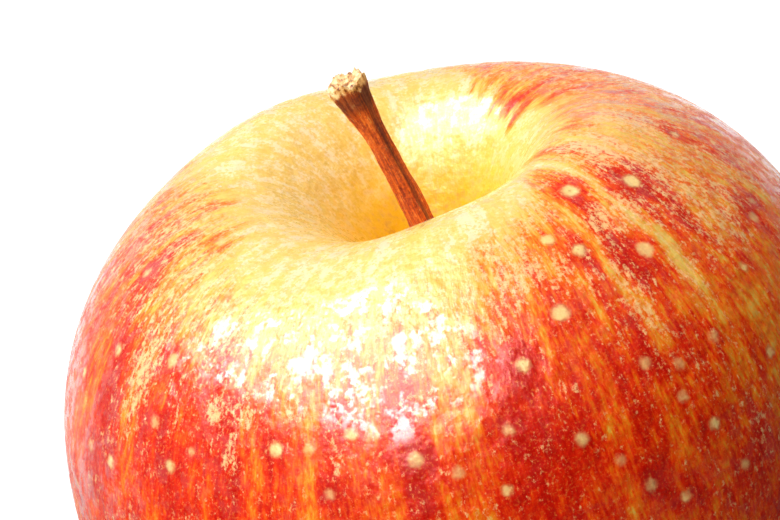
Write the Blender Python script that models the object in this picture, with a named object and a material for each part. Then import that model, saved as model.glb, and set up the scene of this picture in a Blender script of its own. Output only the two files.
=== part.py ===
"""A fresh apple standing on its base: the fruit, its stem, and the dried flower left in its underside.

Shapes are worked out in millimetres and built in metres. +Z is up and the front faces -Y. The fruit is
one solid. The stem, five sepals and the tuft of stamens are solids of their own, each a hair clear of it.
"""

import math

import bmesh
import bpy
import numpy as np

NAME = "apple"
MM = 0.001

# Fruit: two rounded halves that meet at the equator
EQUATOR_RADIUS = 40.0
SHOULDER_HEIGHT = 34.7
SHOULDER_SQUARENESS = 2.55
BASE_DEPTH = 40.0
BASE_SQUARENESS = 1.95
SIDE_SWELL = 0.5
SHOULDER_SLOPE = (-1.0, -1.5)
SHOULDER_SADDLE = 1.2
SHOULDER_SADDLE_TOWARDS = math.radians(-42.5)  # two opposite shoulders stand higher, this one and its pair

# Stem cavity: a funnel sunk in the top, a little off the middle
CAVITY_DEPTH = 20.0
CAVITY_WIDTH = 10.3
CAVITY_SHARPNESS = 1.8
CAVITY_FLOOR = 2.5
CAVITY_STRETCH = 0.09
CAVITY_STRETCH_TOWARDS = math.radians(-154.0)
CAVITY_CENTRE = (2.2, 3.9)

# Calyx basin: a shallower hollow sunk in the underside
BASIN_DEPTH = 14.0
BASIN_WIDTH = 10.0
BASIN_SHARPNESS = 1.9
BASIN_CENTRE = (0.8, -0.6)
BASIN_PLEAT = 0.28

# Five lobes, one facing the front, strongest at the base
LOBES = 5
LOBE_PHASE = math.radians(-90.0)
SHOULDER_LOBE = 0.4
SIDE_LOBE = 0.35
BASE_LOBE = 0.8
SHOULDER_RING = 19.0
BASE_RING = 16.5
LOBE_SPREAD = 8.5
FOOT_FLAT = 0.85  # how much of each base lobe the resting flat takes off

# Stem: a woody stalk with a flared, hollow-ended knob
STEM_LENGTH = 23.5
STEM_LEAN = math.radians(12.0)
STEM_LEAN_TOWARDS = math.radians(159.0)
STEM_CURL = 1.6
STEM_FOOT_RADIUS = 1.55
STEM_WAIST_RADIUS = 1.1
STEM_KNOB_RADIUS = 1.85
STEM_KNOB_LENGTH = 8.0
STEM_KNOB_SHARPNESS = 1.6
STEM_CUP_DEPTH = 0.7
STEM_RIDGES = 5

# Dried calyx
SEPALS = 5
SEPAL_RING = 2.9
SEPAL_LENGTH = 5.8
SEPAL_WIDTH = 2.7
SEPAL_THICKNESS = 0.45
SEPAL_CUPPING = 0.12
SEPAL_BENDS = (38.0, 55.0, 30.0, 62.0, 46.0)
TUFT_RADIUS = 1.5
TUFT_HEIGHT = 3.2
TUFT_RIDGES = 9

# Clearances and mesh fineness
GAP = 0.3
FRUIT_SEGMENTS = 60
FRUIT_RINGS = 47
FINE_ROW = 1.1
COARSE_ROW = 3.4

COLOURS = {
    "apple_skin": ((0.72, 0.13, 0.04), 0.28),
    "stem_bark": ((0.26, 0.11, 0.045), 0.7),
    "dry_sepal": ((0.16, 0.10, 0.05), 0.85),
    "dry_stamen": ((0.07, 0.045, 0.03), 0.9),
}


def new_collection(name):
    group = bpy.data.collections.new(name)
    bpy.context.scene.collection.children.link(group)
    return group


def material(name):
    colour, roughness = COLOURS[name]
    made = bpy.data.materials.new(name)
    made.use_nodes = True
    shader = made.node_tree.nodes["Principled BSDF"]
    shader.inputs["Base Color"].default_value = (*colour, 1.0)
    shader.inputs["Roughness"].default_value = roughness
    shader.inputs["Metallic"].default_value = 0.0
    made.diffuse_color = (*colour, 1.0)
    return made


def smooth_step(low, high, value):
    t = np.clip((value - low) / (high - low), 0.0, 1.0)
    return t * t * (3.0 - 2.0 * t)


def warped_ball(name, segments, rings, surface, skin, group):
    """A UV sphere moved onto surface(row, azimuth), where row runs from 0 at the top to rings."""
    bm = bmesh.new()
    bmesh.ops.create_uvsphere(bm, u_segments=segments, v_segments=rings, radius=1.0)
    for vertex in bm.verts:
        x, y, z = vertex.co
        row = int(round(math.acos(max(-1.0, min(1.0, z))) / math.pi * rings))
        azimuth = math.atan2(y, x) if 0 < row < rings else 0.0
        vertex.co = [value * MM for value in surface(row, azimuth)]
    mesh = bpy.data.meshes.new(name)
    bm.to_mesh(mesh)
    bm.free()
    mesh.shade_smooth()
    mesh.materials.append(skin)
    made = bpy.data.objects.new(name, mesh)
    group.objects.link(made)
    return made


def fruit_surface(polar, azimuth):
    """A point of the skin, in millimetres from the middle of the equator; polar is 0 in the stem cavity."""
    sine = np.clip(np.sin(polar), 0.0, 1.0)
    upper = np.maximum(np.cos(polar), 0.0)
    lower = np.maximum(-np.cos(polar), 0.0)
    lobe = np.cos(LOBES * (azimuth - LOBE_PHASE))
    radius = EQUATOR_RADIUS * sine

    top = SHOULDER_HEIGHT * (1.0 - sine**SHOULDER_SQUARENESS) ** (1.0 / SHOULDER_SQUARENESS)
    bottom = -BASE_DEPTH * (1.0 - sine**BASE_SQUARENESS) ** (1.0 / BASE_SQUARENESS)
    height = np.where(upper > 0.0, top, bottom)
    reach = 1.0 + CAVITY_STRETCH * np.cos(azimuth - CAVITY_STRETCH_TOWARDS)
    funnel = np.hypot(radius / reach, CAVITY_FLOOR) / CAVITY_WIDTH
    height = height - CAVITY_DEPTH * np.exp(-(funnel**CAVITY_SHARPNESS)) * (upper > 0.0)
    height = height + BASIN_DEPTH * np.exp(-((radius / BASIN_WIDTH) ** BASIN_SHARPNESS)) * (lower > 0.0)

    shoulder = np.exp(-(((radius - SHOULDER_RING) / LOBE_SPREAD) ** 2))
    foot = np.exp(-(((radius - BASE_RING) / LOBE_SPREAD) ** 2))
    pleat = np.exp(-(((radius - 0.4 * BASE_RING) / (0.4 * LOBE_SPREAD)) ** 2))
    saddle = SHOULDER_SADDLE * np.cos(2.0 * (azimuth - SHOULDER_SADDLE_TOWARDS))
    height = height + (SHOULDER_LOBE * lobe + saddle) * shoulder * upper
    height = height - (BASE_LOBE * lobe * foot + BASIN_PLEAT * lobe * pleat) * lower
    slope = SHOULDER_SLOPE[0] * np.cos(azimuth) + SHOULDER_SLOPE[1] * np.sin(azimuth)
    height = height + slope * sine * upper * 2.0

    swell = SIDE_LOBE * lobe * (0.3 + lower) + SIDE_SWELL * np.cos(2.0 * azimuth + 0.7) * sine
    radius = radius + swell * sine**2
    x = radius * np.cos(azimuth) + CAVITY_CENTRE[0] * upper**2 + BASIN_CENTRE[0] * lower**2
    y = radius * np.sin(azimuth) + CAVITY_CENTRE[1] * upper**2 + BASIN_CENTRE[1] * lower**2
    return x, y, height


def foot_plane():
    """The height of the flat that the base lobes stand on."""
    polar = np.linspace(0.5 * math.pi, math.pi, 2001)
    lowest = fruit_surface(polar, LOBE_PHASE)[2].min()
    return float(lowest + FOOT_FLAT)


def fruit_rows(rings):
    """Polar angles of the rows: close together in the cavity and the basin, wider apart on the cheeks."""
    polar = np.linspace(0.0, math.pi, 6001)
    radius = EQUATOR_RADIUS * np.sin(polar)
    height = fruit_surface(polar, LOBE_PHASE + math.pi / (2 * LOBES))[2]
    wanted = FINE_ROW + (COARSE_ROW - FINE_ROW) * smooth_step(1.0, 15.0, radius)
    steps = np.hypot(np.diff(radius), np.diff(height)) / (0.5 * (wanted[1:] + wanted[:-1]))
    along = np.concatenate([[0.0], np.cumsum(steps)])
    return np.interp(np.linspace(0.0, along[-1], rings + 1), along, polar)


def build_fruit(skin, group):
    rows = fruit_rows(FRUIT_RINGS)
    floor = foot_plane()

    def surface(row, azimuth):
        x, y, z = fruit_surface(rows[row], azimuth)
        return float(x), float(y), max(float(z), floor)

    return warped_ball("fruit", FRUIT_SEGMENTS, FRUIT_RINGS, surface, skin, group)


def stem_axis(t):
    """Centre line of the stem, t from 0 at the foot to 1 at the tip, leaning and bending the same way."""
    across = STEM_LENGTH * math.sin(STEM_LEAN) * t + STEM_CURL * (t * t - t)
    up = STEM_LENGTH * math.cos(STEM_LEAN) * t
    return across * math.cos(STEM_LEAN_TOWARDS), across * math.sin(STEM_LEAN_TOWARDS), up


def stem_radius(t):
    """Widest at the foot and at the knob, narrowest two thirds of the way up."""
    foot = (STEM_FOOT_RADIUS - STEM_WAIST_RADIUS) * (1.0 - t) ** 2.2
    knob_start = 1.0 - STEM_KNOB_LENGTH / STEM_LENGTH
    flare = float(smooth_step(knob_start, 1.0, t)) ** STEM_KNOB_SHARPNESS
    return STEM_WAIST_RADIUS + foot + (STEM_KNOB_RADIUS - STEM_WAIST_RADIUS) * flare


def build_stem(bark, group):
    cavity_floor = fruit_surface(np.array([0.0]), 0.0)
    foot_x, foot_y, foot_z = (float(value[0]) for value in cavity_floor)
    dome_rows = 4
    cup_rows = 3
    shaft_rows = 22
    rings = dome_rows + shaft_rows + cup_rows
    dome = STEM_FOOT_RADIUS / STEM_LENGTH

    def station(row):
        """Height along the stem, share of the full radius and drop into the end cup, for one row."""
        if row <= cup_rows:
            share = row / cup_rows
            return 1.0, 0.8 * share, STEM_CUP_DEPTH * (1.0 - share**2)
        if row <= cup_rows + shaft_rows:
            t = 1.0 - (row - cup_rows) / shaft_rows * (1.0 - dome)
            return t, 1.0, 0.0
        angle = (row - cup_rows - shaft_rows) / dome_rows * 0.5 * math.pi
        return dome * (1.0 - math.sin(angle)), math.cos(angle), 0.0

    def surface(row, azimuth):
        t, share, drop = station(row)
        ridge = 1.0 + 0.05 * math.cos(STEM_RIDGES * azimuth + 2.0 * t)
        ridge += 0.04 * math.cos(2.0 * azimuth + 1.0)
        radius = stem_radius(t) * share * ridge
        square = float(smooth_step(0.6, 1.0, t))  # the end is cut square to the leaning stalk
        slant = -radius * math.tan(STEM_LEAN) * math.cos(azimuth - STEM_LEAN_TOWARDS) * square
        x, y, z = stem_axis(t)
        x = foot_x + x + radius * math.cos(azimuth)
        y = foot_y + y + radius * math.sin(azimuth)
        return x, y, foot_z + GAP + z - drop + slant

    return warped_ball("stem", 14, rings, surface, bark, group)


def basin_floor():
    x, y, z = fruit_surface(np.array([math.pi]), 0.0)
    return float(x[0]), float(y[0]), float(z[0])


def basin_height(distance):
    """Height of the basin's surface at a distance from its centre, where a sepal stands."""
    polar = math.pi - math.asin(distance / EQUATOR_RADIUS)
    around = np.linspace(0.0, 2.0 * math.pi, 30)
    return min(float(fruit_surface(np.array([polar]), azimuth)[2][0]) for azimuth in around)


def build_sepal(number, leaf, group):
    """A dried sepal: a small pointed leaf that hangs from the basin's floor and bends outwards."""
    centre_x, centre_y, _ = basin_floor()
    direction = LOBE_PHASE + 2.0 * math.pi * number / SEPALS
    outward = np.array([math.cos(direction), math.sin(direction)])
    sideways = np.array([-math.sin(direction), math.cos(direction)])
    bend = math.radians(SEPAL_BENDS[number])
    top = basin_height(SEPAL_RING + 0.5 * SEPAL_THICKNESS) - GAP
    rings = 16

    def surface(row, azimuth):
        t = 1.0 - row / rings
        angle = bend * t
        out = SEPAL_RING + SEPAL_LENGTH / bend * (1.0 - math.cos(angle))
        down = SEPAL_LENGTH / bend * math.sin(angle)
        taper = math.sqrt(max(0.0, 1.0 - (2.0 * t - 1.0) ** 6))
        side = 0.5 * SEPAL_WIDTH * taper * (1.15 - 0.75 * t) * math.cos(azimuth)
        normal = 0.5 * SEPAL_THICKNESS * taper * math.sin(azimuth) - SEPAL_CUPPING * side * side
        out = out + normal * math.cos(angle)
        down = down - normal * math.sin(angle)
        place = outward * out + sideways * side
        return centre_x + place[0], centre_y + place[1], top - down

    return warped_ball(f"sepal_{number + 1}", 12, rings, surface, leaf, group)


def build_tuft(fibre, group):
    """The withered stamens, matted together in the middle of the calyx."""
    centre_x, centre_y, floor = basin_floor()
    rings = 12

    def surface(row, azimuth):
        t = row / rings
        swell = math.sin(math.pi * t) ** 0.6 * (0.75 + 0.35 * t)
        ridge = 1.0 + 0.12 * math.cos(TUFT_RIDGES * azimuth) * t
        radius = TUFT_RADIUS * swell * ridge
        ragged = 0.25 * math.cos(3.0 * azimuth + 1.0) * t * math.sin(math.pi * t)
        x = centre_x + radius * math.cos(azimuth)
        y = centre_y + radius * math.sin(azimuth)
        return x, y, floor - GAP - TUFT_HEIGHT * t + ragged

    return warped_ball("stamen_tuft", 18, rings, surface, fibre, group)


def rest_on_origin(parts):
    """Moves every part by the same amount: the whole stands on Z = 0, its box centred on the origin."""
    points = np.array([vertex.co for part in parts for vertex in part.data.vertices])
    low = points.min(axis=0)
    high = points.max(axis=0)
    shift = (-0.5 * (low[0] + high[0]), -0.5 * (low[1] + high[1]), -low[2])
    for part in parts:
        for vertex in part.data.vertices:
            vertex.co.x += shift[0]
            vertex.co.y += shift[1]
            vertex.co.z += shift[2]


def main():
    for leftover in list(bpy.data.objects):
        bpy.data.objects.remove(leftover, do_unlink=True)
    group = new_collection(NAME)
    skins = {name: material(name) for name in COLOURS}
    parts = [build_fruit(skins["apple_skin"], group), build_stem(skins["stem_bark"], group)]
    for number in range(SEPALS):
        parts.append(build_sepal(number, skins["dry_sepal"], group))
    parts.append(build_tuft(skins["dry_stamen"], group))
    rest_on_origin(parts)


main()
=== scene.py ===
"""Looks of the apple: skin with its streaks and pale dots, a barky stem, and the dried flower in the base.

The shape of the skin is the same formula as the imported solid, at a finer step. Lengths in the formulas are
millimetres, and the scene is in metres.
"""

import math

import bpy
import numpy as np
from mathutils import Matrix, Vector, kdtree, noise


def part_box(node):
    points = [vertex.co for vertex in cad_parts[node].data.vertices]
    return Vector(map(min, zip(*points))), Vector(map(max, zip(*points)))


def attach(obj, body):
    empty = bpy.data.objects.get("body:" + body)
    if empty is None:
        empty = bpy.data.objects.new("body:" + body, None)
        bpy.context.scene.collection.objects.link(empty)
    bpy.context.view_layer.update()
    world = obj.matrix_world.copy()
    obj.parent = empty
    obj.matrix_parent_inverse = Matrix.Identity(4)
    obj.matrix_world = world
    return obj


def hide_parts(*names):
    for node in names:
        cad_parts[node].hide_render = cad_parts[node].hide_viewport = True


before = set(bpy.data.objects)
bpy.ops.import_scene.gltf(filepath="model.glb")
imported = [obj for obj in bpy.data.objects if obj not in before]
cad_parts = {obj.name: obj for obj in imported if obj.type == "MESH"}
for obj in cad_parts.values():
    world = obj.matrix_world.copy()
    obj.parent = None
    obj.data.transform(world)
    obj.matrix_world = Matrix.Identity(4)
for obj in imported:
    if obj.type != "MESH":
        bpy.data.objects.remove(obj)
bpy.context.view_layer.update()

MM = 0.001

# ---------------------------------------------------------------- shape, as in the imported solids
# Fruit
EQUATOR_RADIUS = 40.0
SHOULDER_HEIGHT = 34.7
SHOULDER_SQUARENESS = 2.55
BASE_DEPTH = 40.0
BASE_SQUARENESS = 1.95
SIDE_SWELL = 0.5
SHOULDER_SLOPE = (-1.0, -1.5)
SHOULDER_SADDLE = 1.2
SHOULDER_SADDLE_TOWARDS = math.radians(-42.5)
CAVITY_DEPTH = 20.0
CAVITY_WIDTH = 10.3
CAVITY_SHARPNESS = 1.8
CAVITY_FLOOR = 2.5
CAVITY_STRETCH = 0.09
CAVITY_STRETCH_TOWARDS = math.radians(-154.0)
CAVITY_CENTRE = (2.2, 3.9)
BASIN_DEPTH = 14.0
BASIN_WIDTH = 10.0
BASIN_SHARPNESS = 1.9
BASIN_CENTRE = (0.8, -0.6)
BASIN_PLEAT = 0.28
LOBES = 5
LOBE_PHASE = math.radians(-90.0)
SHOULDER_LOBE = 0.4
SIDE_LOBE = 0.35
BASE_LOBE = 0.8
SHOULDER_RING = 19.0
BASE_RING = 16.5
LOBE_SPREAD = 8.5
FOOT_FLAT = 0.85

# Stem
STEM_LENGTH = 23.5
STEM_LEAN = math.radians(12.0)
STEM_LEAN_TOWARDS = math.radians(159.0)
STEM_CURL = 1.6
STEM_FOOT_RADIUS = 1.55
STEM_WAIST_RADIUS = 1.1
STEM_KNOB_RADIUS = 1.85
STEM_KNOB_LENGTH = 8.0
STEM_KNOB_SHARPNESS = 1.6

# Dried calyx
SEPALS = 5
SEPAL_RING = 2.9
SEPAL_LENGTH = 5.8
SEPAL_WIDTH = 2.7
SEPAL_BENDS = (38.0, 55.0, 30.0, 62.0, 46.0)
TUFT_RADIUS = 1.5
TUFT_HEIGHT = 3.2

# Detail that only the visible pieces have
FRUIT_SEGMENTS = 380
FRUIT_RINGS = 250
STEM_SEGMENTS = 96
STEM_ROWS = 150
STEM_END_ROWS = 9
STEM_TORN_FROM = 0.93
STEM_PAST_TIP = 1.2
SEPAL_SEGMENTS = 40
SEPAL_ROWS = 60
SEPAL_THICKNESS = 0.34
STAMENS = 22
STAMEN_STEPS = 12
GOLDEN_ANGLE = 2.39996
GOLDEN_SHARE = 0.618034

# Pale dots scattered over the skin, and where along it they start and end
DOT_SEED = 11
DOT_TRIES = 5200
DOT_START = 24.0
DOT_END = 116.0
DOT_FAR = 4.0

# The skin attribute holds the length along the skin in centimetres
ALONG_UNIT = 10.0


def smooth_step(low, high, value):
    t = np.clip((value - low) / (high - low), 0.0, 1.0)
    return t * t * (3.0 - 2.0 * t)


def fruit_surface(polar, azimuth):
    """A point of the skin, in millimetres from the middle of the equator; polar is 0 in the stem cavity."""
    sine = np.clip(np.sin(polar), 0.0, 1.0)
    upper = np.maximum(np.cos(polar), 0.0)
    lower = np.maximum(-np.cos(polar), 0.0)
    lobe = np.cos(LOBES * (azimuth - LOBE_PHASE))
    radius = EQUATOR_RADIUS * sine

    top = SHOULDER_HEIGHT * (1.0 - sine**SHOULDER_SQUARENESS) ** (1.0 / SHOULDER_SQUARENESS)
    bottom = -BASE_DEPTH * (1.0 - sine**BASE_SQUARENESS) ** (1.0 / BASE_SQUARENESS)
    height = np.where(upper > 0.0, top, bottom)
    reach = 1.0 + CAVITY_STRETCH * np.cos(azimuth - CAVITY_STRETCH_TOWARDS)
    funnel = np.hypot(radius / reach, CAVITY_FLOOR) / CAVITY_WIDTH
    height = height - CAVITY_DEPTH * np.exp(-(funnel**CAVITY_SHARPNESS)) * (upper > 0.0)
    height = height + BASIN_DEPTH * np.exp(-((radius / BASIN_WIDTH) ** BASIN_SHARPNESS)) * (lower > 0.0)

    shoulder = np.exp(-(((radius - SHOULDER_RING) / LOBE_SPREAD) ** 2))
    foot = np.exp(-(((radius - BASE_RING) / LOBE_SPREAD) ** 2))
    pleat = np.exp(-(((radius - 0.4 * BASE_RING) / (0.4 * LOBE_SPREAD)) ** 2))
    saddle = SHOULDER_SADDLE * np.cos(2.0 * (azimuth - SHOULDER_SADDLE_TOWARDS))
    height = height + (SHOULDER_LOBE * lobe + saddle) * shoulder * upper
    height = height - (BASE_LOBE * lobe * foot + BASIN_PLEAT * lobe * pleat) * lower
    slope = SHOULDER_SLOPE[0] * np.cos(azimuth) + SHOULDER_SLOPE[1] * np.sin(azimuth)
    height = height + slope * sine * upper * 2.0

    swell = SIDE_LOBE * lobe * (0.3 + lower) + SIDE_SWELL * np.cos(2.0 * azimuth + 0.7) * sine
    radius = radius + swell * sine**2
    x = radius * np.cos(azimuth) + CAVITY_CENTRE[0] * upper**2 + BASIN_CENTRE[0] * lower**2
    y = radius * np.sin(azimuth) + CAVITY_CENTRE[1] * upper**2 + BASIN_CENTRE[1] * lower**2
    return x, y, height


def skin_length(polar):
    """Length along the skin, in millimetres, from the stem to each polar angle down the front."""
    x, y, z = fruit_surface(polar, LOBE_PHASE)
    steps = np.sqrt(np.diff(x) ** 2 + np.diff(y) ** 2 + np.diff(z) ** 2)
    return np.concatenate([[0.0], np.cumsum(steps)])


# ---------------------------------------------------------------- pattern, painted in skin coordinates
# A place on the skin is its azimuth in degrees and its distance along the skin from the stem in
# millimetres. First, where the red begins.
RED_EDGE = (
    (-180.0, 27.0),
    (-165.0, 28.0),
    (-150.0, 32.0),
    (-135.0, 35.0),
    (-115.0, 36.5),
    (-97.0, 35.0),
    (-85.0, 34.0),
    (-72.0, 31.0),
    (-60.0, 28.0),
    (-50.0, 24.0),
    (-30.0, 23.0),
    (-10.0, 23.0),
    (15.0, 23.0),
    (35.0, 21.0),
    (55.0, 25.0),
    (80.0, 34.0),
    (110.0, 38.0),
    (140.0, 36.0),
    (160.0, 31.0),
    (180.0, 27.0),
)

# Single strokes: azimuth and half width, start and end along the skin, strength. A negative strength
# makes a yellow stroke.
STROKES = (
    (-178.0, 2.6, 25.5, 31.0, 0.60),
    (-176.0, 2.0, 37.0, 46.0, 0.35),
    (-168.5, 2.6, 30.0, 40.0, 0.65),
    (-164.5, 1.8, 34.0, 42.0, 0.40),
    (-162.0, 2.0, 25.0, 33.0, 0.40),
    (-160.0, 3.0, 40.0, 62.0, 0.50),
    (-157.5, 1.3, 31.0, 36.0, 0.35),
    (-154.5, 1.3, 27.0, 33.0, 0.40),
    (-149.5, 1.2, 28.5, 31.5, 0.35),
    (-141.0, 4.5, 42.0, 60.0, 0.30),
    (-137.0, 1.2, 48.0, 56.0, -0.15),
    (-135.0, 1.7, 38.0, 46.0, 0.40),
    (-130.0, 2.6, 43.0, 60.0, 0.35),
    (-126.0, 1.0, 46.0, 58.0, -0.10),
    (-122.5, 2.6, 43.0, 60.0, 0.30),
    (-116.5, 1.6, 44.0, 58.0, -0.25),
    (-112.0, 2.4, 44.0, 62.0, 0.30),
    (-106.5, 1.6, 43.0, 62.0, -0.25),
    (-100.0, 3.2, 42.0, 64.0, 0.40),
    (-92.0, 2.2, 42.0, 64.0, -0.20),
    (-82.0, 3.6, 42.0, 66.0, 0.35),
    (-76.5, 1.5, 36.0, 47.0, -0.20),
    (-71.5, 2.4, 36.0, 52.0, 0.15),
    (-67.5, 1.6, 39.0, 62.0, 0.35),
    (-65.0, 1.0, 38.0, 50.0, -0.15),
    (-63.0, 2.4, 16.5, 22.5, 0.50),
    (-62.0, 2.0, 34.0, 52.0, 0.30),
    (-57.7, 1.2, 31.0, 52.0, -0.25),
    (-54.0, 2.8, 25.0, 46.0, 0.40),
    (-50.0, 2.4, 24.0, 33.0, 0.35),
    (-46.2, 1.5, 23.0, 48.0, -0.35),
    (-42.5, 1.4, 29.0, 48.0, 0.40),
    (-38.0, 2.4, 19.0, 46.0, 0.60),
    (-33.5, 1.8, 24.0, 38.0, 0.35),
    (-30.0, 1.6, 29.0, 44.0, -0.15),
    (-24.0, 1.8, 38.0, 52.0, 0.35),
    (-21.0, 1.3, 22.0, 31.0, 0.35),
    (-26.0, 28.0, 26.0, 62.0, -0.28),
    (-13.0, 1.6, 25.0, 44.0, 0.30),
    (-8.5, 1.6, 30.0, 42.0, 0.35),
    (-4.0, 1.3, 28.0, 44.0, -0.15),
    (1.0, 1.8, 31.0, 44.0, 0.25),
    (8.5, 1.5, 23.0, 29.0, 0.40),
    (12.0, 1.5, 29.0, 38.0, 0.25),
    (21.0, 2.0, 22.0, 31.0, 0.60),
    (27.0, 1.7, 16.0, 25.5, 0.65),
    (33.5, 2.0, 18.0, 28.0, 0.70),
    (37.0, 1.1, 17.0, 22.0, 0.40),
    (43.5, 2.0, 17.5, 27.0, 0.55),
    (53.0, 1.5, 19.0, 26.0, 0.30),
    (57.5, 1.8, 19.0, 27.0, 0.20),
    (72.0, 1.4, 30.0, 52.0, 0.30),
    (86.0, 1.8, 36.0, 58.0, 0.35),
    (99.0, 2.2, 44.0, 70.0, 0.35),
    (118.0, 1.6, 38.0, 56.0, 0.30),
    (131.0, 2.2, 40.0, 66.0, 0.40),
    (147.0, 1.7, 33.0, 52.0, 0.35),
    (156.0, 1.3, 30.0, 45.0, -0.20),
    (166.0, 1.5, 27.0, 36.0, 0.30),
    (174.0, 2.0, 25.0, 40.0, 0.40),
)

# Patches of pale lacy scurf: azimuth and half width, place and half length along the skin, density.
SCURF = (
    (-166.0, 4.0, 41.0, 5.0, 0.40),
    (-152.0, 4.5, 44.0, 6.5, 0.80),
    (-146.0, 5.0, 37.0, 5.0, 0.60),
    (-133.5, 2.4, 45.5, 1.8, 0.76),
    (-127.5, 2.6, 46.0, 1.7, 0.64),
    (-129.5, 1.6, 49.5, 2.4, 0.76),
    (-141.5, 1.6, 47.0, 1.4, 0.56),
    (-119.0, 3.0, 45.0, 1.4, 0.48),
    (-111.5, 2.2, 48.5, 3.0, 0.64),
    (-98.0, 3.2, 45.5, 1.8, 0.64),
    (-87.0, 2.5, 46.0, 3.5, 0.40),
    (-62.0, 7.0, 36.0, 7.0, 0.55),
    (-53.0, 5.0, 34.5, 2.0, 0.90),
    (-57.5, 3.0, 43.0, 6.0, 0.70),
    (-46.0, 3.5, 36.0, 13.0, 0.70),
    (-33.0, 9.0, 31.0, 9.0, 0.95),
    (-30.0, 12.0, 41.0, 7.0, 0.70),
    (-15.0, 9.0, 30.0, 8.0, 0.90),
    (-12.0, 10.0, 42.0, 6.0, 0.60),
    (8.0, 8.0, 34.0, 8.0, 0.70),
    (28.0, 9.0, 33.0, 5.0, 0.70),
    (75.0, 9.0, 44.0, 6.0, 0.60),
    (118.0, 11.0, 50.0, 7.0, 0.70),
    (150.0, 8.0, 41.0, 7.0, 0.60),
    (176.0, 6.0, 39.0, 7.0, 0.60),
)

# The largest pale dots: azimuth, place along the skin, radius. Smaller ones are scattered between them.
LARGE_DOTS = (
    (-162.5, 54.0, 0.50),
    (-162.0, 44.0, 0.50),
    (-158.0, 29.2, 0.50),
    (-155.5, 54.0, 0.50),
    (-146.0, 42.2, 0.55),
    (-145.8, 48.2, 0.50),
    (-141.0, 51.8, 0.50),
    (-137.0, 50.0, 0.30),
    (-121.5, 48.7, 0.60),
    (-116.0, 48.8, 0.45),
    (-113.0, 52.8, 0.40),
    (-109.0, 47.5, 0.50),
    (-99.7, 50.5, 0.60),
    (-94.0, 52.3, 0.50),
    (-88.0, 55.0, 0.45),
    (-85.5, 49.8, 0.45),
    (-80.5, 44.5, 0.55),
    (-75.8, 52.8, 0.55),
    (-71.5, 56.0, 0.45),
    (-71.3, 41.2, 0.75),
    (-68.5, 59.5, 0.50),
    (-65.7, 33.8, 0.55),
    (-64.0, 62.3, 0.45),
    (-62.3, 49.0, 0.50),
    (-61.5, 36.3, 0.60),
    (-59.0, 53.5, 0.45),
    (-57.2, 50.7, 0.50),
    (-56.0, 57.5, 0.50),
    (-53.5, 63.0, 0.45),
    (-52.0, 30.2, 0.75),
    (-50.0, 39.8, 0.75),
    (-49.5, 50.5, 0.50),
    (-38.3, 33.8, 0.75),
    (-24.2, 45.8, 0.50),
    (-20.5, 45.0, 0.40),
    (38.5, 21.0, 0.45),
)


def degrees_apart(azimuth_deg, place):
    return (azimuth_deg - place + 180.0) % 360.0 - 180.0


def blush(azimuth_deg, along):
    """How red the skin is before the fine streaks: 0 is yellow, 1 is full red."""
    places, starts = zip(*RED_EDGE)
    edge = np.interp(azimuth_deg, places, starts)
    # strokes wander a little to either side on their way down
    azimuth_deg = (
        azimuth_deg
        + 0.6 * np.sin(0.5 * along + 0.21 * azimuth_deg)
        + 0.35 * np.sin(1.3 * along - 0.47 * azimuth_deg)
    )
    red = 0.64 * smooth_step(-7.0, 8.0, along - edge) + 0.18 * smooth_step(2.0, 22.0, along - edge)
    for place, half_width, start, end, strength in STROKES:
        across = np.exp(-((degrees_apart(azimuth_deg, place) / half_width) ** 2))
        begun = smooth_step(start - 1.5, start + 2.5, along)
        ended = smooth_step(end - 7.0, end + 3.0, along)
        red = red + strength * across * begun * (1.0 - ended)
    # the skin round the calyx goes back to yellow green
    return np.clip(red, 0.0, 1.3) * (1.0 - 0.75 * smooth_step(96.0, 116.0, along))


def scurf_density(azimuth_deg, along):
    """How much of the skin the pale flecks cover, 0 to 1."""
    density = 0.6 * smooth_step(20.0, 28.0, along) * (1.0 - 0.75 * smooth_step(36.0, 48.0, along))
    for place, half_width, middle, half_length, strength in SCURF:
        across = degrees_apart(azimuth_deg, place) / half_width
        down = (along - middle) / half_length
        density = np.maximum(density, strength * np.exp(-((across**2 + down**2) ** 2)))
    return density


def scatter_dots(along, polar):
    """Centres and radii of the pale dots: the large ones, then smaller ones kept apart from each other."""
    random = np.random.default_rng(DOT_SEED)
    centres = []
    radii = []

    def add(azimuth_deg, distance, radius, apart):
        angle = float(np.interp(distance, along, polar))
        point = point_of_skin(angle, math.radians(azimuth_deg))
        if centres and np.min(np.linalg.norm(np.array(centres) - point, axis=1)) < apart:
            return
        centres.append(point)
        radii.append(radius)

    for azimuth_deg, distance, radius in LARGE_DOTS:
        add(azimuth_deg, distance, radius, 0.0)
    for _ in range(DOT_TRIES):
        around, share, chance, size = random.uniform(0.0, 1.0, 4)
        distance = DOT_START + (DOT_END - DOT_START) * share
        ring = math.sin(float(np.interp(distance, along, polar)))
        # rings are drawn in proportion to their length
        if chance > ring:
            continue
        apart = float(np.interp(distance, (DOT_START, 50.0, 75.0, DOT_END), (9.0, 6.5, 5.0, 2.6)))
        usual = float(np.interp(distance, (DOT_START, 60.0, DOT_END), (0.5, 0.42, 0.22)))
        add(360.0 * around - 180.0, distance, usual * (0.55 + 0.6 * size), apart)
    return np.array(centres), np.array(radii)


def nearest_dot(points, centres, radii):
    """For each point: distance to the nearest dot, that dot's radius, and the dot's own number, 0 to 1."""
    tree = kdtree.KDTree(len(centres))
    for number, centre in enumerate(centres):
        tree.insert(centre, number)
    tree.balance()
    found = [tree.find(point) for point in points.reshape(-1, 3)]
    number = np.array([item[1] for item in found])
    distance = np.array([item[2] for item in found])
    return distance, radii[number], (number * GOLDEN_SHARE) % 1.0


# ---------------------------------------------------------------- meshes
def place_object(name, data):
    made = bpy.data.objects.new(name, data)
    bpy.context.scene.collection.objects.link(made)
    return made


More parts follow.
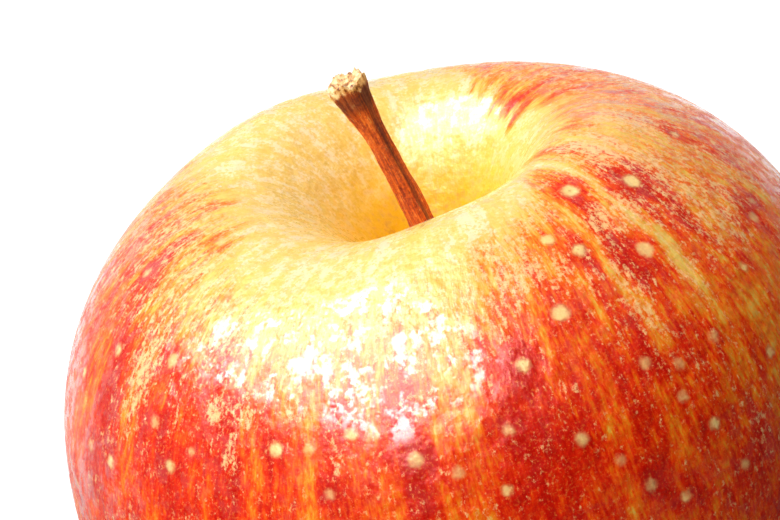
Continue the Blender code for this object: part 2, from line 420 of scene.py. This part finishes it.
def smooth_mesh(name, verts, faces):
    """A smooth-shaded object from vertices in millimetres."""
    mesh = bpy.data.meshes.new(name)
    mesh.from_pydata((np.asarray(verts) * MM).tolist(), [], faces)
    mesh.shade_smooth()
    mesh.update()
    return place_object(name, mesh)


def point_of_skin(polar, azimuth):
    return np.array([float(v) for v in fruit_surface(polar, azimuth)])


def grid_ball(name, points, top, bottom):
    """A closed mesh from a grid of points (rows, segments, 3) with a pole point above and one below."""
    rows, segments, _ = points.shape
    verts = np.concatenate([[top], points.reshape(-1, 3), [bottom]])
    faces = []
    for column in range(segments):
        right = (column + 1) % segments
        faces.append((0, 1 + column, 1 + right))
    for row in range(rows - 1):
        base = 1 + row * segments
        for column in range(segments):
            right = (column + 1) % segments
            below = base + segments
            faces.append((base + column, below + column, below + right, base + right))
    last = 1 + (rows - 1) * segments
    for column in range(segments):
        right = (column + 1) % segments
        faces.append((last + right, last + column, len(verts) - 1))
    return smooth_mesh(name, verts, faces)


def vector_attribute(mesh, name, values):
    layer = mesh.attributes.new(name, "FLOAT_VECTOR", "POINT")
    layer.data.foreach_set("vector", np.asarray(values, dtype=np.float32).ravel())


def build_fruit():
    """The skin at full detail, and the move from the formula's frame to the part's."""
    polar = np.linspace(0.0, math.pi, 6001)
    along = skin_length(polar)
    lengths = np.linspace(0.0, along[-1], FRUIT_RINGS + 1)
    rows = np.interp(lengths, along, polar)
    azimuth = np.linspace(-math.pi, math.pi, FRUIT_SEGMENTS, endpoint=False)
    grid_polar, grid_azimuth = np.meshgrid(rows[1:-1], azimuth, indexing="ij")
    x, y, z = fruit_surface(grid_polar, grid_azimuth)
    lowest = fruit_surface(np.linspace(0.5 * math.pi, math.pi, 2001), LOBE_PHASE)[2].min()
    z = np.maximum(z, lowest + FOOT_FLAT)

    box_low, box_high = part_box("fruit")
    shift = np.array(
        [
            0.5 * (box_low[0] + box_high[0]) / MM - 0.5 * (x.min() + x.max()),
            0.5 * (box_low[1] + box_high[1]) / MM - 0.5 * (y.min() + y.max()),
            box_low[2] / MM - z.min(),
        ]
    )
    points = np.stack([x, y, z], axis=-1) + shift
    top = point_of_skin(0.0, 0.0) + shift
    bottom = point_of_skin(math.pi, 0.0) + shift
    made = grid_ball("apple_skin", points, top, bottom)

    along_grid = np.repeat(lengths[1:-1, None], FRUIT_SEGMENTS, axis=1)
    skin = np.stack([np.cos(grid_azimuth), np.sin(grid_azimuth), along_grid / ALONG_UNIT], axis=-1)
    ends = ([0.0, 0.0, 0.0], [0.0, 0.0, lengths[-1] / ALONG_UNIT])
    vector_attribute(made.data, "skin", np.concatenate([[ends[0]], skin.reshape(-1, 3), [ends[1]]]))
    azimuth_deg = np.degrees(grid_azimuth)
    red = blush(azimuth_deg, along_grid)
    scurf = scurf_density(azimuth_deg, along_grid)
    centres, radii = scatter_dots(along, polar)
    distance, radius, own = nearest_dot(np.stack([x, y, z], axis=-1), centres, radii)
    # each large dot sits on an island of red that scurf leaves bare
    island = np.exp(-((distance / (3.4 * radius)) ** 2)).reshape(red.shape) * smooth_step(0.05, 0.4, red)
    red = red + 0.3 * island
    scurf = scurf * (1.0 - 0.8 * island)
    paint = np.stack([red.ravel(), scurf.ravel(), np.zeros(red.size)], axis=-1)
    dots = np.stack([np.minimum(distance, DOT_FAR), radius, own], axis=-1)
    no_dot = [[DOT_FAR, 0.3, 0.0]]
    vector_attribute(made.data, "paint", np.concatenate([[[0.0, 0.0, 0.0]], paint, [[0.2, 0.0, 0.0]]]))
    vector_attribute(made.data, "dots", np.concatenate([no_dot, dots, no_dot]))
    return made, shift


# ---------------------------------------------------------------- node helpers
def srgb(red, green, blue):
    """A linear colour from 0 to 255 screen values."""
    linear = []
    for value in (red, green, blue):
        share = value / 255.0
        linear.append(share / 12.92 if share <= 0.04045 else ((share + 0.055) / 1.055) ** 2.4)
    return (*linear, 1.0)


class Nodes:
    """Short calls for building the node tree of a material or a world."""

    def __init__(self, owner, last):
        owner.use_nodes = True
        self.owner = owner
        self.tree = owner.node_tree
        self.shader = self.tree.nodes[last]

    def set(self, name, source):
        """Links or sets an input of the shader that the tree ends in."""
        self.link(source, self.shader.inputs[name])

    def link(self, source, target):
        if isinstance(source, (int, float, tuple)):
            target.default_value = source
        else:
            self.tree.links.new(source, target)

    def math(self, operation, *values, clamp=False):
        node = self.tree.nodes.new("ShaderNodeMath")
        node.operation = operation
        node.use_clamp = clamp
        for value, socket in zip(values, node.inputs):
            self.link(value, socket)
        return node.outputs[0]

    def vector(self, operation, *values):
        node = self.tree.nodes.new("ShaderNodeVectorMath")
        node.operation = operation
        for value, socket in zip(values, node.inputs):
            self.link(value, socket)
        return node.outputs["Value" if operation == "DOT_PRODUCT" else "Vector"]

    def split(self, vector):
        node = self.tree.nodes.new("ShaderNodeSeparateXYZ")
        self.link(vector, node.inputs[0])
        return list(node.outputs)

    def attribute(self, name):
        node = self.tree.nodes.new("ShaderNodeAttribute")
        node.attribute_name = name
        return node.outputs["Vector"]

    def coordinates(self, kind):
        return self.tree.nodes.new("ShaderNodeTexCoord").outputs[kind]

    def place(self):
        """Where the point is on the piece, in millimetres."""
        return self.vector("MULTIPLY", self.coordinates("Object"), (1.0 / MM, 1.0 / MM, 1.0 / MM))

    def noise(self, vector, scale, detail=3.0, roughness=0.55):
        node = self.tree.nodes.new("ShaderNodeTexNoise")
        self.link(vector, node.inputs["Vector"])
        for name, number in (("Scale", scale), ("Detail", detail), ("Roughness", roughness)):
            node.inputs[name].default_value = number
        return node.outputs["Fac"]

    def stretched_noise(self, vector, stretch, detail, roughness):
        return self.noise(self.vector("MULTIPLY", vector, stretch), 1.0, detail, roughness)

    def pulled(self, value, *terms):
        """value plus each (noise, weight), where a noise of a half changes nothing."""
        for term, weight in terms:
            value = self.math("MULTIPLY_ADD", self.math("SUBTRACT", term, 0.5), weight, value)
        return value

    def grey(self, value):
        node = self.tree.nodes.new("ShaderNodeCombineColor")
        for socket in node.inputs:
            self.link(value, socket)
        return node.outputs[0]

    def seen_by_camera(self, otherwise, seen):
        """A value that is one number for the camera and another for light that bounces off the stage."""
        node = self.tree.nodes.new("ShaderNodeMapRange")
        camera_ray = self.tree.nodes.new("ShaderNodeLightPath").outputs["Is Camera Ray"]
        for source, name in ((camera_ray, "Value"), (otherwise, "To Min"), (seen, "To Max")):
            self.link(source, node.inputs[name])
        return node.outputs[0]

    def step(self, value, low, high, from_value=0.0, to_value=1.0):
        """value from low to high becomes from_value to to_value, smoothly."""
        node = self.tree.nodes.new("ShaderNodeMapRange")
        node.interpolation_type = "SMOOTHSTEP"
        self.link(value, node.inputs["Value"])
        for number, socket in zip((low, high, from_value, to_value), list(node.inputs)[1:5]):
            self.link(number, socket)
        return node.outputs[0]

    def mix(self, share, first, second, blend="MIX"):
        node = self.tree.nodes.new("ShaderNodeMix")
        node.data_type = "RGBA"
        node.blend_type = blend
        node.clamp_factor = True
        self.link(share, node.inputs[0])
        self.link(first, node.inputs[6])
        self.link(second, node.inputs[7])
        return node.outputs[2]

    def ramp(self, value, stops):
        node = self.tree.nodes.new("ShaderNodeValToRGB")
        self.link(value, node.inputs["Fac"])
        ramp = node.color_ramp
        while len(ramp.elements) > 1:
            ramp.elements.remove(ramp.elements[-1])
        for number, (position, colour) in enumerate(stops):
            element = ramp.elements[0] if number == 0 else ramp.elements.new(position)
            element.position = position
            element.color = colour
        return node.outputs["Color"]

    def bump(self, height, strength, distance, normal=None):
        node = self.tree.nodes.new("ShaderNodeBump")
        node.inputs["Strength"].default_value = strength
        node.inputs["Distance"].default_value = distance
        self.link(height, node.inputs["Height"])
        if normal is not None:
            self.link(normal, node.inputs["Normal"])
        return node.outputs[0]


def material_nodes(name):
    return Nodes(bpy.data.materials.new(name), "Principled BSDF")


# ---------------------------------------------------------------- skin
# From yellow ground to full red
WASH = (
    (0.0, srgb(240, 204, 126)),
    (0.15, srgb(242, 182, 88)),
    (0.3, srgb(244, 156, 46)),
    (0.45, srgb(244, 122, 22)),
    (0.6, srgb(240, 86, 12)),
    (0.75, srgb(226, 50, 8)),
    (0.9, srgb(212, 34, 6)),
    (1.0, srgb(198, 24, 6)),
)
GROUND_PALE = srgb(248, 226, 190)
GROUND_RICH = srgb(238, 194, 84)
# amber deep in the stem cavity: partly the skin's own colour, partly painted shade of the hollow
CAVITY_AMBER_AND_SHADE = srgb(240, 190, 14)
CAVITY_RUSSET = srgb(176, 96, 20)
SCURF_CREAM = srgb(250, 208, 146)
DUST_ORANGE = srgb(246, 160, 66)
DOT_CREAM = srgb(250, 218, 146)
DOT_RIM = srgb(180, 92, 24)
DOT_PORE = srgb(160, 110, 44)


def yellow_ground(n, colour, red, along, clouds, mottle, russet):
    """Mottles the ground paler and deeper, and turns it amber and russet down in the cavity, where the amber
    is partly the skin's own colour and partly painted shade of the hollow.
    """
    bare = n.step(red, 0.4, 0.1)
    pale = n.math("MULTIPLY", n.step(clouds, 0.5, 0.68, 0.0, 0.6), bare)
    colour = n.mix(pale, colour, GROUND_PALE)
    rich = n.math("MULTIPLY", n.step(clouds, 0.5, 0.32, 0.0, 0.6), bare)
    colour = n.mix(rich, colour, GROUND_RICH)
    # painted shade: towards the bottom of the cavity the ground deepens to amber, partly its own colour and
    # partly the shade of the hollow
    amber_and_shade = n.step(n.pulled(along, (mottle, 3.0)), 19.0, 6.0, 0.0, 0.95)
    colour = n.mix(amber_and_shade, colour, CAVITY_AMBER_AND_SHADE)
    return n.mix(n.math("MULTIPLY", russet, 0.5), colour, CAVITY_RUSSET)


def pale_dots(n, colour, place, along):
    """Corky dots with a wavering edge, some with a rim or a dark pore. Returns the colour and the dots."""
    distance, radius, own = n.split(n.attribute("dots"))
    edge = n.math("SUBTRACT", n.pulled(distance, (n.noise(place, 1.4, 3.0), 0.7)), radius)
    shown = n.step(along, DOT_START, DOT_START + 7.0)
    dot = n.math("MULTIPLY", n.step(edge, 0.4, -0.3), shown)
    dot = n.math("MULTIPLY", dot, n.step(own, 0.0, 1.0, 0.55, 0.95))
    colour = n.mix(dot, colour, DOT_CREAM)
    off_rim = n.math("ABSOLUTE", n.math("SUBTRACT", edge, 0.12))
    rim = n.math("MULTIPLY", n.step(off_rim, 0.14, 0.02), shown)
    colour = n.mix(n.math("MULTIPLY", rim, n.step(own, 0.55, 0.65, 0.0, 0.25)), colour, DOT_RIM)
    pore = n.math("MULTIPLY", n.step(distance, 0.3, 0.1), n.step(own, 0.7, 0.8))
    colour = n.mix(n.math("MULTIPLY", n.math("MULTIPLY", pore, dot), 0.5), colour, DOT_PORE)
    return colour, dot


def skin_material():
    n = material_nodes("apple_skin")
    skin = n.attribute("skin")
    along = n.math("MULTIPLY", n.split(skin)[2], ALONG_UNIT)
    red_field, scurf_field, _ = n.split(n.attribute("paint"))
    place = n.place()

    def streaks(around, down, detail, offset):
        """Noise drawn out from stem to base, with about this many streaks to a radian."""
        stretched = n.vector("MULTIPLY", skin, (around, around, down))
        moved = n.vector("ADD", stretched, (offset, offset * 0.7, offset * 1.3))
        return n.noise(moved, 1.0, detail, 0.6)

    wide = streaks(5.0, 0.35, 2.0, 3.1)
    middle = streaks(14.0, 0.9, 3.0, 7.7)
    narrow = streaks(38.0, 2.6, 3.0, 12.9)
    hair = streaks(110.0, 9.0, 2.0, 21.3)
    brushed = streaks(80.0, 9.0, 4.0, 33.7)
    patch = n.noise(place, 0.09, 3.0, 0.6)
    mottle = n.noise(place, 0.8, 4.0, 0.65)
    grain = n.noise(place, 3.2, 3.0, 0.65)

    # red wash: the painted field, pulled up and down by the streaks, but never where the field is empty
    across = ((wide, 0.6), (middle, 1.0), (narrow, 1.2), (hair, 1.0))
    pull = n.pulled(red_field, *across, (patch, 0.3), (mottle, 0.6))
    red = n.math("MULTIPLY", n.math("MULTIPLY", pull, 0.8, clamp=True), n.step(red_field, 0.0, 0.3))
    clouds = n.pulled(mottle, (middle, 0.6), (narrow, 0.5), (grain, 0.4))
    rust = n.noise(place, 1.6, 4.0, 0.7)
    russet = n.math("MULTIPLY", n.step(rust, 0.5, 0.66), n.step(along, 15.0, 5.0))
    colour = yellow_ground(n, n.ramp(red, WASH), red, along, clouds, mottle, russet)

    # pale lacy scurf: the denser it is painted, the lower the noise needs to be to show a fleck
    lace = n.noise(place, 1.4, 6.0, 0.8)
    lace = n.pulled(lace, (brushed, 0.8), (narrow, 0.3), (grain, 0.5), (patch, 0.3))
    cover = n.math("MULTIPLY_ADD", scurf_field, 0.34, lace)
    fleck = n.math("MULTIPLY", n.step(cover, 0.62, 0.88), n.step(red, 0.08, 0.35))
    colour = n.mix(n.math("MULTIPLY", fleck, 0.85), colour, SCURF_CREAM)
    dust = n.math("MULTIPLY", n.step(grain, 0.5, 0.75, 0.0, 0.4), n.step(red, 0.2, 0.5))
    colour = n.mix(dust, colour, DUST_ORANGE)

    colour, dot = pale_dots(n, colour, place, along)
    tone = n.pulled(1.0, (grain, 0.3), (hair, 0.25))
    n.set("Base Color", n.mix(1.0, colour, n.grey(tone), "MULTIPLY"))

    # wax: broken patches of clear gloss over a duller skin, and little of it in the cavity
    wax = n.pulled(n.noise(place, 0.5, 6.0, 0.75), (middle, 0.4), (mottle, 0.4))
    waxy = n.step(wax, 0.5, 0.58, 0.0, 1.0)
    n.set("Coat Weight", n.math("MULTIPLY", waxy, n.step(along, 14.0, 27.0, 0.1, 1.0)))
    n.set("Roughness", n.math("MULTIPLY_ADD", russet, 0.3, n.step(mottle, 0.3, 0.7, 0.24, 0.31)))

    normal = n.bump(n.noise(place, 0.32, 2.0, 0.5), 0.6, 0.0006)
    normal = n.bump(n.noise(place, 1.5, 3.0, 0.6), 0.5, 0.00014, normal)
    normal = n.bump(grain, 0.25, 0.00006, normal)
    normal = n.bump(hair, 0.25, 0.00006, normal)
    normal = n.bump(n.math("ADD", dot, n.math("MULTIPLY", fleck, 0.4)), 0.4, 0.00005, normal)
    n.set("Normal", normal)
    n.set("Coat Roughness", 0.12)
    n.set("Subsurface Weight", 0.08)
    n.set("Subsurface Radius", (1.0, 0.35, 0.12))
    n.set("Subsurface Scale", 0.0012)
    n.set("IOR", 1.45)
    n.set("Specular IOR Level", 0.32)
    return n.owner


# ---------------------------------------------------------------- stem
def stem_axis(t):
    across = STEM_LENGTH * math.sin(STEM_LEAN) * t + STEM_CURL * (t * t - t)
    up = STEM_LENGTH * math.cos(STEM_LEAN) * t
    return np.array([across * math.cos(STEM_LEAN_TOWARDS), across * math.sin(STEM_LEAN_TOWARDS), up])


def bark_relief(azimuth, t):
    """Ridges, a deep groove and knobbly bark, as a share of the stem's radius."""
    x, y = math.cos(azimuth), math.sin(azimuth)
    fibres = noise.fractal(Vector((x * 3.4, y * 3.4, t * 2.6)), 0.8, 2.0, 4)
    knobs = noise.fractal(Vector((x * 1.6, y * 1.6, t * 9.0 + 5.0)), 0.9, 2.0, 4)
    off_groove = (azimuth + 0.55 + 0.4 * t + math.pi) % (2 * math.pi) - math.pi
    groove = math.exp(-(off_groove / 0.28) ** 2)
    return 0.09 * fibres + 0.07 * knobs - 0.2 * groove * float(smooth_step(0.1, 0.4, t))


def stem_ring(t):
    """Points round the stem at a share of its length, from its axis. The torn end is square to the lean."""
    knob_start = 1.0 - STEM_KNOB_LENGTH / STEM_LENGTH
    flare = float(smooth_step(knob_start, 1.0, t)) ** STEM_KNOB_SHARPNESS
    square = float(smooth_step(0.6, 1.0, t))
    torn = float(smooth_step(STEM_TORN_FROM, 1.0, t))
    radius = STEM_WAIST_RADIUS + (STEM_FOOT_RADIUS - STEM_WAIST_RADIUS) * (1.0 - t) ** 2.2
    radius += (STEM_KNOB_RADIUS - STEM_WAIST_RADIUS) * flare
    radius += 0.4 * float(smooth_step(0.06, 0.0, t)) + 0.15 * torn
    ring = []
    for column in range(STEM_SEGMENTS):
        azimuth = 2.0 * math.pi * column / STEM_SEGMENTS
        x, y = math.cos(azimuth), math.sin(azimuth)
        out = radius * (1.0 + bark_relief(azimuth, t))
        rim = -out * math.tan(STEM_LEAN) * math.cos(azimuth - STEM_LEAN_TOWARDS) * square
        tear = noise.fractal(Vector((x * 1.5, y * 1.5, 8.0)), 0.6, 2.0, 5)
        ring.append((out * x, out * y, rim + (0.8 * tear + 0.5) * torn))
    return np.array(ring)


def stem_end(rim_ring):
    """Rings of crumbly pith that dip from the torn rim to the middle of the end, innermost first."""
    centre = rim_ring.mean(axis=0)
    rings = []
    for row in range(1, STEM_END_ROWS):
        share = row / STEM_END_ROWS
        ring = centre + (rim_ring - centre) * share
        for point in ring:
            crumb = noise.fractal(Vector(point.tolist()) * 0.9, 0.7, 2.0, 4)
            point[2] += -0.7 * (1.0 - share**2) + 0.6 * crumb * (1.0 - share**4)
        rings.append(ring)
    return rings


def build_stem(shift):
    foot = point_of_skin(0.0, 0.0) + shift
    heights = [1.0 - row / STEM_ROWS for row in range(STEM_ROWS + 1)]
    shaft = [foot + stem_axis(t) + stem_ring(t) for t in heights]
    end = stem_end(shaft[0])
    top = shaft[0].mean(axis=0) + np.array([0.0, 0.0, -0.5])
    bottom = foot + np.array([0.0, 0.0, -0.3])
    made = grid_ball("stem_bark", np.array(end + shaft), top, bottom)

    # direction round the stem, then the share of its length, where the torn end counts as past the tip
    around = np.linspace(0.0, 2.0 * math.pi, STEM_SEGMENTS, endpoint=False)
    x, y = np.cos(around), np.sin(around)
    flat = np.ones(STEM_SEGMENTS)
    shares = [row / STEM_END_ROWS for row in range(1, STEM_END_ROWS)]
    rings = [np.stack([x * share, y * share, flat * STEM_PAST_TIP], axis=-1) for share in shares]
    rings += [np.stack([x, y, flat * t], axis=-1) for t in heights]
    tip, base = np.array([[0.0, 0.0, STEM_PAST_TIP]]), np.zeros((1, 3))
    vector_attribute(made.data, "bark", np.concatenate([tip, *rings, base]))
    return made


# Bark from its cracks to its highest fibres, and the pith of the torn end
BARK = (
    (0.36, srgb(76, 20, 2)),
    (0.45, srgb(166, 62, 4)),
    (0.53, srgb(222, 106, 8)),
    (0.63, srgb(244, 168, 70)),
)
BARK_FLAKE = srgb(240, 184, 116)
# painted shade along the stem's groove
GROOVE_PAINTED_SHADE = srgb(64, 16, 4)
BARK_COLLAR = srgb(70, 28, 14)
PITH = (
    (0.36, srgb(116, 52, 14)),
    (0.46, srgb(222, 160, 82)),
    (0.6, srgb(250, 228, 172)),
)
GROOVE_TOWARDS = (math.cos(-0.75), math.sin(-0.75), 0.0)


def stem_material():
    n = material_nodes("stem_bark")
    bark = n.attribute("bark")
    height = n.split(bark)[2]
    place = n.place()
    fibres = n.stretched_noise(bark, (9.0, 9.0, 7.0), 5.0, 0.65)
    coarse = n.stretched_noise(bark, (2.2, 2.2, 5.0), 4.0, 0.6)
    flakes = n.stretched_noise(bark, (4.0, 4.0, 24.0), 5.0, 0.75)
    specks = n.noise(place, 3.0, 4.0, 0.7)
    texture = n.math("MULTIPLY_ADD", fibres, 0.4, n.math("MULTIPLY", coarse, 0.3))
    colour = n.ramp(n.math("MULTIPLY_ADD", specks, 0.3, texture), BARK)
    colour = n.mix(n.step(flakes, 0.58, 0.66, 0.0, 0.6), colour, BARK_FLAKE)
    # painted shade: the groove in the stem is darkened along its length
    groove = n.vector("DOT_PRODUCT", bark, GROOVE_TOWARDS)
    colour = n.mix(n.step(groove, 0.95, 0.995, 0.0, 0.6), colour, GROOVE_PAINTED_SHADE)
    collar = n.math("MULTIPLY", n.step(height, 0.86, 0.93), n.step(height, 1.0, 0.95))
    colour = n.mix(n.math("MULTIPLY", collar, 0.6), colour, BARK_COLLAR)
    torn = n.step(n.pulled(height, (coarse, 0.06)), 0.965, 0.98)
    colour = n.mix(torn, colour, n.ramp(n.noise(place, 1.5, 4.0, 0.65), PITH))
    n.set("Base Color", colour)
    n.set("Roughness", n.step(fibres, 0.3, 0.7, 0.5, 0.8))
    n.set("Normal", n.bump(specks, 0.6, 0.0001, n.bump(fibres, 0.8, 0.0002)))
    return n.owner


# ---------------------------------------------------------------- dried calyx
def build_sepal(number, shift):
    """A dry leaf that stands in the basin and curls outwards as it hangs down."""
    centre = point_of_skin(math.pi, 0.0) + shift
    direction = LOBE_PHASE + 2.0 * math.pi * number / SEPALS
    outward = np.array([math.cos(direction), math.sin(direction), 0.0])
    sideways = np.array([-math.sin(direction), math.cos(direction), 0.0])
    bend = math.radians(SEPAL_BENDS[number])
    polar = math.pi - math.asin(SEPAL_RING / EQUATOR_RADIUS)
    root = float(fruit_surface(polar, direction)[2]) + shift[2] + 0.15
    grid = np.zeros((SEPAL_ROWS - 1, SEPAL_SEGMENTS, 3))
    values = []
    for row in range(1, SEPAL_ROWS):
        t = 1.0 - row / SEPAL_ROWS
        angle = bend * t
        out = SEPAL_RING + SEPAL_LENGTH / bend * (1.0 - math.cos(angle))
        down = SEPAL_LENGTH / bend * math.sin(angle)
        taper = math.sqrt(max(0.0, 1.0 - (2.0 * t - 1.0) ** 6))
        for column in range(SEPAL_SEGMENTS):
            azimuth = 2.0 * math.pi * column / SEPAL_SEGMENTS
            side = 0.5 * SEPAL_WIDTH * taper * (1.15 - 0.8 * t) * math.cos(azimuth)
            crinkle = noise.fractal(Vector((side * 1.2 + number * 7.0, t * 5.0, 0.0)), 0.8, 2.0, 4)
            thick = 0.5 * SEPAL_THICKNESS * taper * math.sin(azimuth)
            normal = thick - 0.2 * side * side + 0.28 * crinkle * t
            place = outward * (out + normal * math.cos(angle))
            place = place + sideways * side * (1.0 + 0.15 * crinkle)
            height = root - down + normal * math.sin(angle)
            grid[row - 1, column] = [centre[0] + place[0], centre[1] + place[1], height]
            values.append((side, t, float(number)))
    made = grid_ball(f"dry_sepal_{number + 1}", grid, grid[0].mean(axis=0), grid[-1].mean(axis=0))
    tip, root_end = (0.0, 1.0, float(number)), (0.0, 0.0, float(number))
    vector_attribute(made.data, "leaf", [tip, *values, root_end])
    return made


# Dry leaf from its veins out, and the down on it
LEAF = (
    (0.3, srgb(58, 38, 20)),
    (0.5, srgb(104, 76, 44)),
    (0.7, srgb(150, 124, 84)),
)
LEAF_DOWN = srgb(196, 178, 140)


def sepal_material():
    n = material_nodes("dry_sepal")
    veins = n.stretched_noise(n.attribute("leaf"), (3.5, 2.0, 1.0), 4.0, 0.6)
    down = n.noise(n.place(), 5.0, 4.0, 0.7)
    n.set("Base Color", n.mix(n.step(down, 0.55, 0.7, 0.0, 0.6), n.ramp(veins, LEAF), LEAF_DOWN))
    n.set("Roughness", n.step(down, 0.3, 0.7, 0.7, 0.95))
    n.set("Normal", n.bump(down, 0.6, 0.0001, n.bump(veins, 0.7, 0.0002)))
    return n.owner


def tube(points, radii, segments=8):
    """Rings along a list of points for one thin stalk, as verts and faces of a closed tube."""
    verts = []
    faces = []
    for number, (point, radius) in enumerate(zip(points, radii)):
        along = points[min(number + 1, len(points) - 1)] - points[max(number - 1, 0)]
        along = Vector(along.tolist()).normalized()
        side = along.orthogonal().normalized()
        other = along.cross(side)
        for column in range(segments):
            angle = 2.0 * math.pi * column / segments
            offset = side * math.cos(angle) * radius + other * math.sin(angle) * radius
            verts.append((point[0] + offset.x, point[1] + offset.y, point[2] + offset.z))
    for row in range(len(points) - 1):
        for column in range(segments):
            right = (column + 1) % segments
            base = row * segments
            above = base + segments
            faces.append((base + column, base + right, above + right, above + column))
    faces.append(tuple(reversed(range(segments))))
    faces.append(tuple(range(len(verts) - segments, len(verts))))
    return verts, faces


def stamen(number, centre):
    """Points down one withered stamen and its radius at each, with the anther near the tip."""
    direction = number * GOLDEN_ANGLE
    spread = math.sqrt((number + 0.5) / STAMENS)
    start = 0.75 * spread * TUFT_RADIUS
    root = centre + np.array([math.cos(direction), math.sin(direction), 0.0]) * start
    root[2] += 0.2
    tip_way = direction + 0.8 * math.sin(number * 3.7)
    tip = np.array([math.cos(tip_way), math.sin(tip_way), 0.0])
    reach = TUFT_RADIUS * (0.35 + 0.75 * spread)
    length = TUFT_HEIGHT * (0.7 + 0.3 * math.sin(number * 1.9) ** 2)
    points = []
    radii = []
    for step in range(STAMEN_STEPS + 1):
        t = step / STAMEN_STEPS
        kink = 0.16 * math.sin(5.0 * t + number)
        hang = np.array([kink * math.sin(direction), -kink * math.cos(direction), -length * t])
        points.append(root + tip * (reach - start) * t**2 + hang)
        anther = 0.16 * math.exp(-(((t - 0.9) / 0.08) ** 2))
        radii.append(max(0.03, 0.12 - 0.04 * t + anther) * (0.2 if step == STAMEN_STEPS else 1.0))
    return points, radii


def build_tuft(shift):
    """The withered stamens that hang in the basin, as one mesh."""
    centre = point_of_skin(math.pi, 0.0) + shift
    verts = []
    faces = []
    for number in range(STAMENS):
        new_verts, new_faces = tube(*stamen(number, centre))
        start = len(verts)
        verts += new_verts
        faces += [tuple(start + index for index in face) for face in new_faces]
    return smooth_mesh("dry_stamens", verts, faces)


STAMEN = (
    (0.35, srgb(34, 22, 14)),
    (0.55, srgb(84, 56, 32)),
    (0.7, srgb(140, 108, 70)),
)


def stamen_material():
    n = material_nodes("dry_stamen")
    dust = n.noise(n.place(), 4.0, 4.0, 0.7)
    n.set("Base Color", n.ramp(dust, STAMEN))
    n.set("Roughness", n.step(dust, 0.3, 0.7, 0.7, 0.95))
    n.set("Normal", n.bump(dust, 0.6, 0.0001))
    return n.owner


# ---------------------------------------------------------------- light, floor and camera
# The stage looks white to the camera. It bounces less light than that in front of the fruit, and the
# room is brightest above, behind and to the left.
FLOOR_HALF = 0.6
FLOOR_DROP = 0.0002
FLOOR_SEEN = 0.95
FLOOR_DARK = 0.08
FLOOR_BRIGHTENS = (-0.05, 0.2)
ROOM_BRIGHT_SIDE = (-0.42, 0.42, 0.8)
ROOM_BRIGHTENS = (-0.5, 0.9)
ROOM_BRIGHT = 0.75
ROOM_DIM = 0.02

# Rectangular lamps: name, place, height aimed at, size, power, and whether it lights diffuse and gloss
LAMPS = (
    ("softbox", (-0.13, 0.03, 0.62), 0.05, (0.34, 0.34), 1.9, True, False),
    ("sheen_panel", (-0.2, -0.08, 0.56), 0.05, (0.84, 0.46), 19.0, False, True),
    ("front_fill", (-0.6, -0.75, 0.35), 0.04, (0.8, 0.8), 4.8, True, False),
)

CAMERA_ELEVATION = 0.51
CAMERA_ROLL = -0.277
CAMERA_DISTANCE = 340.0
CAMERA_AIM = (-2.9, 0.0, 22.2)
CAMERA_LENS = 158.8
CAMERA_SENSOR = 36.0


def build_lamp(name, place, aim_height, size, power, diffuse, glossy):
    lamp = bpy.data.lights.new(name, "AREA")
    lamp.shape = "RECTANGLE"
    lamp.size, lamp.size_y = size
    lamp.energy = power
    made = place_object(name, lamp)
    made.location = place
    towards = Vector((0.0, 0.0, aim_height)) - Vector(place)
    made.rotation_euler = towards.to_track_quat("-Z", "Y").to_euler()
    made.visible_diffuse = diffuse
    made.visible_glossy = glossy


def build_light():
    """A white room, bright above, behind and to the left, with the lamps in it."""
    world = bpy.data.worlds.new("studio")
    bpy.context.scene.world = world
    n = Nodes(world, "Background")
    facing = n.vector("DOT_PRODUCT", n.coordinates("Generated"), ROOM_BRIGHT_SIDE)
    n.set("Color", (1.0, 1.0, 1.0, 1.0))
    n.set("Strength", n.seen_by_camera(n.step(facing, *ROOM_BRIGHTENS, ROOM_DIM, ROOM_BRIGHT), 1.0))
    for lamp in LAMPS:
        build_lamp(*lamp)


def build_floor():
    mesh = bpy.data.meshes.new("floor")
    corners = [(x * FLOOR_HALF, y * FLOOR_HALF, 0.0) for x, y in ((-1, -1), (1, -1), (1, 1), (-1, 1))]
    mesh.from_pydata(corners, [], [(0, 1, 2, 3)])
    floor = place_object("floor", mesh)
    floor.location.z = -FLOOR_DROP
    n = material_nodes("floor_white")
    back = n.split(n.coordinates("Object"))[1]
    bounce = n.step(back, *FLOOR_BRIGHTENS, FLOOR_DARK, FLOOR_SEEN)
    n.set("Base Color", n.grey(n.seen_by_camera(bounce, FLOOR_SEEN)))
    n.set("Roughness", 0.8)
    mesh.materials.append(n.owner)


def build_camera(shift):
    back = Vector((0.0, -math.cos(CAMERA_ELEVATION), math.sin(CAMERA_ELEVATION)))
    level = Vector((1.0, 0.0, 0.0))
    right = level * math.cos(CAMERA_ROLL) + back.cross(level) * math.sin(CAMERA_ROLL)
    data = bpy.data.cameras.new("camera")
    data.lens = CAMERA_LENS
    data.sensor_width = CAMERA_SENSOR
    data.clip_start = 0.01
    data.clip_end = 20.0
    camera = place_object("camera", data)
    pose = Matrix((right, back.cross(right), back)).transposed().to_4x4()
    pose.translation = (Vector(CAMERA_AIM) + Vector(shift.tolist()) + back * CAMERA_DISTANCE) * MM
    camera.matrix_world = pose
    bpy.context.scene.camera = camera


def dress(piece, material, slot_name, *nodes):
    piece.data.materials.append(material)
    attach(piece, "root")
    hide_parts(*nodes)


fruit, shift = build_fruit()
dress(fruit, skin_material(), "skin", "fruit")
dress(build_stem(shift), stem_material(), "bark", "stem")
leaf_material = sepal_material()
for index in range(SEPALS):
    dress(build_sepal(index, shift), leaf_material, "sepal", f"sepal_{index + 1}")
dress(build_tuft(shift), stamen_material(), "stamen", "stamen_tuft")
build_floor()
build_light()
build_camera(shift)
bpy.context.scene.view_settings.view_transform = "Standard"
bpy.context.scene.view_settings.look = "Medium High Contrast"
